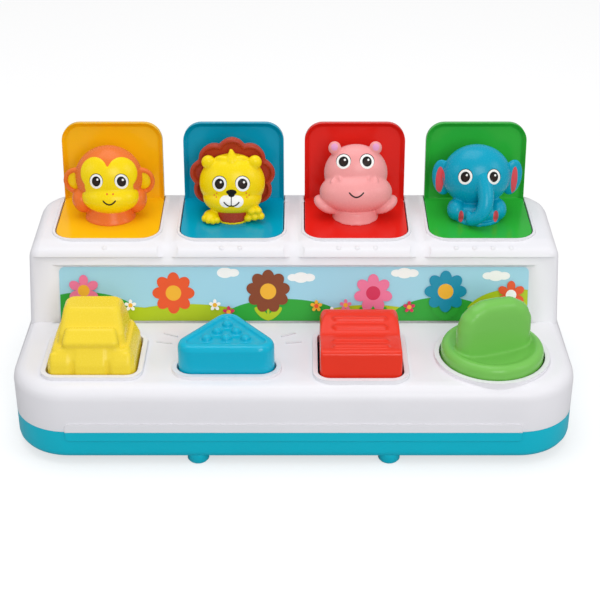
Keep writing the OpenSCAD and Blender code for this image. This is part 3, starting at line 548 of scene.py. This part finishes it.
def rocker_detail(bm):
    """Four round-ended ribs across the two slopes, and a full front wall."""
    for y, z in ((-14.5, 15.0), (-7.0, 14.5), (5.8, 15.7), (12.0, 17.7)):
        wrapped(bm, [(-13.6, y, z, 1.7), (13.6, y, z, 1.7)])
    wrapped(bm, [(x, y, z, 1.0) for x in (-20.6, 20.6)
                 for y, z in ((-22.0, -3), (-19.8, 9), (-19, -3), (-18, 9))])


def knob_detail(bm):
    """A fuller, rounder crest for the grip's fin, along its set of 20 degrees."""
    wrapped(bm, [(x, 0, z, r) for x, z, r in (
        (-16, 6, 6.6), (16, 6, 6.6), (-15.8, 20, 6.4), (-14.6, 24.6, 6.2), (-11.6, 28.2, 6.0),
        (-6.5, 30.7, 5.7), (1, 31.0, 5.5), (8.4, 30.0, 5.8), (13, 26.8, 6.2), (15.8, 21.5, 6.4))], (0, 0, 20))


class POPUP_OT_keys(bpy.types.Operator):
    """The car, the triangle, the rocking key and the turning key"""
    bl_idname = "popup.keys"
    bl_label = "Keys"

    def execute(self, context):
        soft_key("car_key", "car", "car_button", ["car_abs"], "car_yellow", car_detail, 0.45, 16)
        soft_key("triangle_key", "triangle", "triangle_button", ["triangle_abs"], "triangle_blue",
                 triangle_detail, 0.5, 9)
        soft_key("rocker_key", "rocker", "rocker_button", ["rocker_abs"], "rocker_red", rocker_detail, 0.5, 9)
        soft_key("turning_key", "knob", "turning_button", ["knob_abs"], "knob_green", knob_detail, 0.6, 12)
        return {"FINISHED"}


# ---- the picture label ----

class Picture:
    """Flat shapes in mm across and up a label, stacked in front of each other and cut at its edges."""

    def __init__(self, width, height):
        self.bm = bmesh.new()
        self.width = width
        self.height = height
        self.layer = 0

    def disc(self, x, z, rx, rz, ink, turn=0.0, root=(0, 0), segments=40):
        """An ellipse about a place, turned about a root beside it."""
        self.layer += 1
        at = (Matrix.Translation((x, -0.01 * self.layer, z)) @ Matrix.Rotation(math.radians(-turn), 4, "Y")
              @ Matrix.Translation((root[0], 0, root[1])) @ Matrix.Diagonal((rx, 1, rz, 1))
              @ Matrix.Rotation(math.pi / 2, 4, "X"))
        made = bmesh.ops.create_circle(self.bm, segments=segments, radius=1, cap_ends=True, matrix=at)
        faces = {f for v in made["verts"] for f in v.link_faces}
        for f in faces:
            f.material_index = ink
            f.normal_update()
            if f.normal.y > 0:
                f.normal_flip()

    def flower(self, x, z, size, petals, ink, heart, turn=0.0):
        """Round petals in a ring, a heart, and a paler eye in it."""
        for k in range(petals):
            self.disc(x, z, size * 0.28, size * 0.36, ink, turn + k * 360 / petals, (0, size * 0.62))
        self.disc(x, z, size * 0.46, size * 0.46, ink)
        self.disc(x, z, size * 0.36, size * 0.36, heart)

    def stalk(self, x, z, ink):
        """A stem with a plain leaf at each side."""
        self.disc(x, z / 2 - 1, 0.7, z / 2 + 1.5, ink, segments=24)
        for s in (-1, 1):
            self.disc(x, 1, 2.0, 5.4, ink, s * 48, (0, 5.0))

    def done(self, at):
        for spot, way in (((-self.width / 2, 0, 0), (-1, 0, 0)), ((self.width / 2, 0, 0), (1, 0, 0)),
                          ((0, 0, 0), (0, 0, -1)), ((0, 0, self.height), (0, 0, 1))):
            geom = list(self.bm.verts) + list(self.bm.edges) + list(self.bm.faces)
            bmesh.ops.bisect_plane(self.bm, geom=geom, plane_co=spot, plane_no=way, clear_outer=True)
        mesh = bpy.data.meshes.new("label_picture")
        self.bm.to_mesh(mesh)
        self.bm.free()
        return place("label_picture", mesh, "case", LABEL_INKS, at=at @ Matrix.Scale(MM, 4), slot="label")


LABEL_INKS = ["leaf_ink", "lime_ink", "poppy_ink", "gold_ink", "russet_ink", "pink_ink", "crimson_ink",
              "lagoon_ink", "white_ink"]
LEAF, LIME, POPPY, GOLD, RUSSET, PINK, CRIMSON, LAGOON, WHITE = range(9)
# mm across from the label's middle and up from its foot; each list runs from the back to the front
CLOUDS = ((-92, 27), (-40, 28.4), (4, 25.6), (64, 28.2), (117, 26.6))
HILLS = ((-122, 34, 17, LEAF), (-62, 40, 10, LIME), (-6, 36, 13, LEAF), (44, 34, 9.5, LIME),
         (86, 30, 14, LEAF), (128, 30, 19, LIME), (-96, 26, 8.4, LIME), (18, 24, 7, LEAF), (106, 28, 8, LEAF))
TALL_FLOWERS = ((-70, 16.5, 12.5, 8, POPPY, GOLD), (-15, 17.5, 13, 9, RUSSET, GOLD),
                (46, 16.5, 11.5, 7, PINK, CRIMSON), (88, 17.5, 12.5, 8, LAGOON, GOLD),
                (-122, 18, 9.5, 6, PINK, GOLD), (126, 15.5, 8.5, 6, POPPY, WHITE))
SMALL_FLOWERS = ((-46, 9.5, WHITE), (-38, 5.4, CRIMSON), (13, 9, GOLD), (22, 5, WHITE), (67, 8.4, CRIMSON),
                 (-95, 9.4, WHITE), (108, 7, GOLD), (-104, 5, POPPY), (30, 9.6, PINK))


class POPUP_OT_label(bpy.types.Operator):
    """The picture strip across the riser: hills, clouds and big round flowers"""
    bl_idname = "popup.label"
    bl_label = "Label"

    def execute(self, context):
        node = frame["nodes"]["label_panel"]
        node.data.materials.clear()
        node.data.materials.append(finish("sky_ink"))
        low, high = (Vector(c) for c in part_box("label_panel"))
        width = (high.x - low.x) / MM
        height = (high.z - low.z) / MM / math.cos(RISER_LEAN)
        at = Matrix.Translation((0, low.y, low.z)) @ Matrix.Rotation(-RISER_LEAN, 4, "X")
        art = Picture(width - LABEL_MARGIN, height - LABEL_MARGIN)
        for x, z in CLOUDS:
            for dx, r in ((-4.6, 2.1), (0, 3.1), (4.8, 2.3)):
                art.disc(x + dx, z, r * 1.5, r, WHITE)
        for x, rx, rz, ink in HILLS:
            art.disc(x, 0, rx, rz, ink, segments=64)
        for x, z, size, petals, ink, heart in TALL_FLOWERS:
            art.stalk(x, z, LEAF if ink in (PINK, LAGOON) else LIME)
            art.flower(x, z, size, petals, ink, heart)
        for x, z, ink in SMALL_FLOWERS:
            art.flower(x, z, 3.6, 5, ink, GOLD if ink != GOLD else POPPY)
        art.done(at)
        return {"FINISHED"}


# ---- the heads ----

class POPUP_OT_monkey(bpy.types.Operator):
    """The monkey's head: coat, mask and print"""
    bl_idname = "popup.monkey"
    bl_label = "Monkey"

    def execute(self, context):
        sizes = context.scene.pop_up_sizes
        at = unit_frame("monkey")
        bm = bmesh.new()
        blob(bm, (0, 6, 23.4), (19.9, 14.5, 19), (-8, 0, 0), 56)
        for s in (-1, 1):
            hoop(bm, (s * 19.7, 5.4, 21), 6.1, 1.35, 1.16)
            blob(bm, (s * 16.4, 1.5, 10), (5.6, 6.4, 7.6), (0, s * 16, 0))
        drum(bm, (0, 0.4, 0), 15.2, 14.4, 1.6, 0.86)
        drum(bm, (0, 0.4, 1.2), 14.4, 10.6, 8, 0.86)
        coat = melted("monkey_coat", bm, sizes.skin_mm)
        coat = place("monkey_coat", coat, "monkey_popup", ["monkey_abs"], ("monkey_figure",), at,
                     "monkey_orange")
        # the mask: a heart-shaped skin that hugs the coat, and the muzzle under it
        skin = Print(coat, at)
        for x, z, rx, rz in ((-7.1, 24.2, 8.3, 9.2), (9.3, 24.2, 8.3, 9.2), (1.1, 16.2, 14.2, 8.4)):
            skin.spot(x, z, rx, rz, 0, 0.75)
        mask = skin.bm
        deep = bmesh.ops.extrude_face_region(mask, geom=list(mask.faces))
        bmesh.ops.translate(mask, vec=skin.ahead * 3.2 * MM,
                            verts=[g for g in deep["geom"] if isinstance(g, bmesh.types.BMVert)])
        bmesh.ops.recalc_face_normals(mask, faces=mask.faces)
        mask.transform(Matrix.Scale(1 / MM, 4) @ at.inverted())
        blob(mask, (1.2, -1.4, 14.2), (17.0, 11.8, 10.0), (0, 0, 0), 48)
        for s in (-1, 1):
            blob(mask, (s * 19.9, 6.2, 21), (5.6, 1.2, 6.5), (0, 0, 0), 32)
        face = melted("monkey_mask", mask, sizes.skin_mm, 5)
        piece = place("monkey_mask", face, "monkey_popup", ["monkey_face_abs"], ("monkey_face",), at,
                      "face_yellow")
        ink = Print(piece, at)
        for x in (-5.6, 9.0):
            ink.eye(x, 19.0, 3.8, 4.1)
        for x in (0.5, 4.0):
            ink.spot(x, 11.7, 0.5, 0.6, TINT, 0.05)
        ink.stroke([(-2.1, 8.0), (1.8, 2.9), (5.6, 8.1)], sizes.smile_w, BLACK, 0.05)
        ink.done("monkey_print", "monkey_popup", FACE_INKS + ["poppy_ink"])
        return {"FINISHED"}


def mane_form(sizes):
    """A scalloped plate with a raised round rim about a shallow dish."""
    bm = bmesh.new()
    made = bmesh.ops.create_circle(bm, segments=180, radius=1, cap_ends=True,
                                   matrix=Matrix.Rotation(math.pi / 2, 4, "X"))
    outline = []
    for v in made["verts"]:
        a = math.atan2(v.co.z, v.co.x)
        r = 20.8 + 3.3 * abs(math.cos(4.5 * (a - math.pi / 2))) ** 0.8
        v.co = (r * math.cos(a), 8.4, max(1.6, 22 + r * math.sin(a)))
        outline.append((v.co.x, v.co.z))
    thick = bmesh.ops.extrude_face_region(bm, geom=list(bm.faces))
    bmesh.ops.translate(bm, vec=(0, 5, 0),
                        verts=[g for g in thick["geom"] if isinstance(g, bmesh.types.BMVert)])
    bmesh.ops.recalc_face_normals(bm, faces=bm.faces)
    for x, z in outline:
        blob(bm, (x, 8.0, z), (1.5, 1.7, 1.5), segments=12)
    blob(bm, (0, 14, 22), (17, 5.8, 17), (-8, 0, 0))
    return melted("lion_mane_skin", bm, sizes.skin_mm, 7)


class POPUP_OT_lion(bpy.types.Operator):
    """The lion's head: mane, face, paws and print"""
    bl_idname = "popup.lion"
    bl_label = "Lion"

    def execute(self, context):
        sizes = context.scene.pop_up_sizes
        at = unit_frame("lion")
        place("lion_mane_skin", mane_form(sizes), "lion_popup", ["mane_abs"], ("lion_mane",), at,
              "mane_brown")
        bm = bmesh.new()
        blob(bm, (0, 2.6, 21.4), (19.4, 12.6, 17.6), (-8, 0, 0), 56)
        blob(bm, (0, -0.4, 13.2), (17.4, 12, 9.6), (0, 0, 0), 48)
        for s in (-1, 1):
            blob(bm, (s * 13.6, 1.5, 35.2), (4.1, 3.4, 4.2))
        # forelock: a pointed tuft between two low shoulders
        cord_of_beads(bm, [(0, 1.2, 35.0), (0.4, 1.4, 38.5), (-0.2, 2.4, 42.2)], (4.6, 1.1), 14)
        for s in (-1, 1):
            cord_of_beads(bm, [(s * 3.4, 1.4, 36.6), (s * 6.4, 1.6, 38), (s * 8.4, 2.0, 37.2)],
                          (2.6, 1.3), 10)
        # left paw, flat, with four toes
        blob(bm, (-12.4, -5.6, 3.4), (4.9, 5.2, 3.3))
        for x, y in ((-16.4, -7.8), (-14.2, -9.9), (-11.4, -10.6), (-8.8, -9.6)):
            blob(bm, (x, y, 2.7), (1.9, 2.1, 2.3), segments=20)
        # right paw, raised, with its pads
        blob(bm, (12.8, -5.4, 5.4), (5.0, 3.8, 4.9))
        for x, z in ((9.2, 3.2), (11.4, 7.8), (15.2, 8.2), (16.8, 4.6), (13.2, 4.0)):
            blob(bm, (x, -8.2, z), (2.4, 2.3, 2.3), segments=20)
        drum(bm, (0, -1.0, 0), 10.8, 10.6, 1.5, 0.9)
        head = melted("lion_head", bm, sizes.skin_mm, 5)
        piece = place("lion_head", head, "lion_popup", ["lion_abs"], ("lion_figure",), at, "lion_yellow")
        bm = bmesh.new()
        drum(bm, (0, -0.8, 1.0), 10.9, 10.2, 8, 0.9)
        neck = melted("lion_neck", bm, sizes.skin_mm, 3)
        place("lion_neck", neck, "lion_popup", ["mane_abs"], (), at, "mane_brown")
        ink = Print(piece, at)
        for x in (-6.9, 6.6):
            ink.eye(x, 17.6, 4.1, 4.3)
        for s in (-1, 1):
            ink.spot(s * 3.2, 7.6, 3.8, 3.5, PALE, 0.05)
            ink.stroke([(-0.2, 4.9), (s * 2.4, 4.3), (s * 4.6, 7.3)], sizes.smile_w * 0.85, BLACK, 0.12)
            for dx, dz in ((8.6, 12.4), (10.2, 11.4), (8.9, 10.2)):
                ink.spot(s * dx, dz, 0.42, 0.42, TINT, 0.05)
        ink.spot(0, 8.8, 3.4, 3.2, PALE, 0.07)
        ink.spot(0, 12.8, 3.05, 1.5, BLACK, 0.12)
        ink.spot(0, 11.8, 2.0, 1.8, BLACK, 0.14)
        ink.stroke([(-0.1, 10.4), (-0.1, 7.5), (-0.2, 5.0)], sizes.smile_w * 0.6, BLACK, 0.13)
        ink.done("lion_print", "lion_popup", FACE_INKS + ["poppy_ink"])
        return {"FINISHED"}


class POPUP_OT_hippo(bpy.types.Operator):
    """The hippo's head: skin, ears and print"""
    bl_idname = "popup.hippo"
    bl_label = "Hippo"

    def execute(self, context):
        sizes = context.scene.pop_up_sizes
        at = unit_frame("hippo")
        bm = bmesh.new()
        blob(bm, (0, 7.4, 25.2), (18.8, 12.0, 17.4), (-8, 0, 0), 56)
        wide, deep, tall = muzzle = (21.4, 13.4, 12.4)
        blob(bm, (0, 0.4, 16.4), muzzle, (-6, 0, 0), 56)
        for s in (-1, 1):
            blob(bm, (s * 12 - 0.7, 7.6, 41.4), (3.8, 2.6, 4.0), (-8, 0, 0))
            blob(bm, (s * 17.4, 0.6, 7.8), (8.2, 7, 4.2), (0, s * -30, 0))
            # an arched ridge over each nostril, along the top of the muzzle
            for k in range(16):
                along = math.pi * k / 15
                x = s * 10.7 - 1.2 - 2.5 * math.cos(along)
                high = math.radians(58 + 17 * math.sin(along))
                side = math.sqrt(1 - (x / wide) ** 2)
                spot = turned(-6, 0, 0) @ Vector((x, -deep * side * math.cos(high),
                                                  tall * side * math.sin(high)))
                blob(bm, spot + Vector((0, 0.2, 16.5)), (0.85, 0.85, 0.85), segments=12)
        drum(bm, (0, 0.6, 0), 13.8, 13.2, 1.6, 0.9)
        drum(bm, (0, 0.6, 1.2), 13.2, 11.4, 5, 0.9)
        skin = melted("hippo_head", bm, sizes.skin_mm, 5)
        piece = place("hippo_head", skin, "hippo_popup", ["hippo_abs"], ("hippo_figure",), at, "hippo_pink")
        ink = Print(piece, at)
        for x in (-7.6, 6.1):
            ink.eye(x, 30.8, 4.1, 4.3)
        for x in (-12.8, 11.4):
            ink.spot(x, 39.4, 2.0, 2.1, TINT, 0.05)
        ink.stroke([(-4.5, 12.7), (-0.2, 6.7), (4.3, 12.7)], sizes.smile_w, BLACK, 0.05)
        ink.done("hippo_print", "hippo_popup", FACE_INKS + ["lilac_ink"])
        return {"FINISHED"}


class POPUP_OT_elephant(bpy.types.Operator):
    """The elephant's head: skin, trunk, pads and print"""
    bl_idname = "popup.elephant"
    bl_label = "Elephant"

    def execute(self, context):
        sizes = context.scene.pop_up_sizes
        at = unit_frame("elephant")
        bm = bmesh.new()
        blob(bm, (-1.8, 5.6, 24.8), (20.2, 14.4, 18.4), (-8, 0, 0), 56)
        for s in (-1, 1):
            blob(bm, (s * 20.6 - 0.9, 8, 22.0), (6.2, 2.6, 11.6), (0, s * 5, s * 10))
            blob(bm, (s * 12.2 - 1.2, -2.8, 6.2), (5.4, 6.6, 6.6))
        # trunk: from between the eyes, out to the right and down to its tip at the left
        cord_of_beads(bm, [(0.8, -4.6, 27.5), (3.4, -12.0, 19), (3.6, -18.6, 10.5), (-5.0, -13.2, 5.0)],
                      (5.3, 3.9), 30)
        cord_of_beads(bm, [(-5.0, -12.8, 5.0), (-6.6, -12.4, 6.4), (-7.0, -12.0, 8.4)], (3.2, 1.7), 8)
        drum(bm, (-0.4, -0.4, 0), 14.4, 14.0, 2, 0.88)
        blob(bm, (-0.4, 0.4, 5), (15.4, 12, 7))
        skin = melted("elephant_head", bm, sizes.skin_mm, 5)
        piece = place("elephant_head", skin, "elephant_popup", ["elephant_abs"], ("elephant_figure",), at,
                      "elephant_blue")
        ink = Print(piece, at)
        for x in (-9.8, 6.8):
            ink.eye(x, 21.6, 3.9, 4.3)
        for x, rx in ((-23.2, 2.3), (20.9, 1.9)):
            ink.spot(x, 21.2, rx, 7.4, TINT, 0.06)
        for x in (-11.0, 9.4):
            ink.spot(x, -0.6, 1.5, 3.3, TINT, 0.06)
        ink.done("elephant_print", "elephant_popup", FACE_INKS + ["coral_ink"])
        return {"FINISHED"}


# ---- the stage ----

class POPUP_OT_stage(bpy.types.Operator):
    """The floor, the soft lights and the camera"""
    bl_idname = "popup.stage"
    bl_label = "Stage"

    def execute(self, context):
        scene = context.scene
        bm = bmesh.new()
        bmesh.ops.create_grid(bm, x_segments=1, y_segments=1, size=6)
        mesh = bpy.data.meshes.new("floor")
        bm.to_mesh(mesh)
        bm.free()
        floor = bpy.data.objects.new("floor", mesh)
        scene.collection.objects.link(floor)
        mat, tree = new_material("white_paper_sweep")
        seen = add(tree, "ShaderNodeLightPath").outputs["Is Camera Ray"]
        part_glow = add(tree, "ShaderNodeMath", {0: seen}, {1: 0.6}, operation="MULTIPLY")
        paper = add(tree, "ShaderNodeBsdfDiffuse", None, {"Color": (0.48, 0.48, 0.485, 1)})
        glow = add(tree, "ShaderNodeEmission", {"Strength": part_glow.outputs[0]}, {"Color": (1, 1, 1, 1)})
        both = add(tree, "ShaderNodeAddShader", {0: paper.outputs[0], 1: glow.outputs[0]})
        add(tree, "ShaderNodeOutputMaterial", {"Surface": both.outputs[0]})
        mesh.materials.append(mat)

        world = bpy.data.worlds.new("studio")
        world.use_nodes = True
        tree = world.node_tree
        tree.nodes.clear()
        rays = add(tree, "ShaderNodeLightPath")
        seen = add(tree, "ShaderNodeMath",
                   {0: rays.outputs["Is Camera Ray"], 1: rays.outputs["Is Transmission Ray"]},
                   operation="MAXIMUM")
        soft = add(tree, "ShaderNodeBackground", None, {"Color": (1, 1, 1, 1), "Strength": 0.52})
        white = add(tree, "ShaderNodeBackground", None, {"Color": (1, 1, 1, 1), "Strength": 1.0})
        both = add(tree, "ShaderNodeMixShader", {0: seen.outputs[0], 1: soft.outputs[0], 2: white.outputs[0]})
        add(tree, "ShaderNodeOutputWorld", {"Surface": both.outputs[0]})
        scene.world = world

        aim = Vector((0, 0, 0.06))
        for name, spot, size, watts in (("overhead", (-0.1, 0.05, 1.2), 0.9, 5.0),
                                        ("front", (0.35, -1.5, 0.75), 0.7, 7.9),
                                        ("right", (1.1, -0.5, 0.7), 0.5, 1.9),
                                        ("left", (-1.2, -0.6, 0.7), 0.5, 1.2)):
            lamp = bpy.data.lights.new(name, "AREA")
            lamp.size = size
            lamp.energy = watts
            holder = bpy.data.objects.new(name, lamp)
            holder.location = spot
            holder.rotation_euler = (aim - Vector(spot)).to_track_quat("-Z", "Y").to_euler()
            scene.collection.objects.link(holder)

        view = bpy.data.cameras.new("camera")
        view.lens = 84.0
        view.sensor_width = 36.0
        camera = bpy.data.objects.new("camera", view)
        camera.location = (0.0035, -0.714, 0.4555)
        camera.rotation_euler = (math.pi / 2 - VIEW_DOWN, 0, 0)
        scene.collection.objects.link(camera)
        scene.camera = camera
        scene.view_settings.view_transform = "Standard"
        return {"FINISHED"}


class POPUP_PT_panel(bpy.types.Panel):
    """Lists the toy's pieces in the sidebar"""
    bl_label = "Pop Up Toy"
    bl_space_type = "VIEW_3D"
    bl_region_type = "UI"
    bl_category = "Pop Up Toy"

    def draw(self, context):
        for op in OPERATORS:
            self.layout.operator(op.bl_idname)
        for group in (context.scene.pop_up_sizes, context.scene.pop_up_colours):
            for key in group.__annotations__:
                self.layout.prop(group, key)


OPERATORS = (POPUP_OT_case, POPUP_OT_lids, POPUP_OT_keys, POPUP_OT_label, POPUP_OT_monkey, POPUP_OT_lion,
             POPUP_OT_hippo, POPUP_OT_elephant, POPUP_OT_stage)
CLASSES = (POPUP_PG_colours, POPUP_PG_sizes, *OPERATORS, POPUP_PT_panel)


def register():
    for c in CLASSES:
        bpy.utils.register_class(c)
    bpy.types.Scene.pop_up_colours = bpy.props.PointerProperty(type=POPUP_PG_colours)
    bpy.types.Scene.pop_up_sizes = bpy.props.PointerProperty(type=POPUP_PG_sizes)


def unregister():
    del bpy.types.Scene.pop_up_sizes
    del bpy.types.Scene.pop_up_colours
    for c in reversed(CLASSES):
        bpy.utils.unregister_class(c)


def main():
    register()
    for op in OPERATORS:
        getattr(bpy.ops.popup, op.bl_idname.split(".")[1])()


if __name__ == "__main__":
    main()
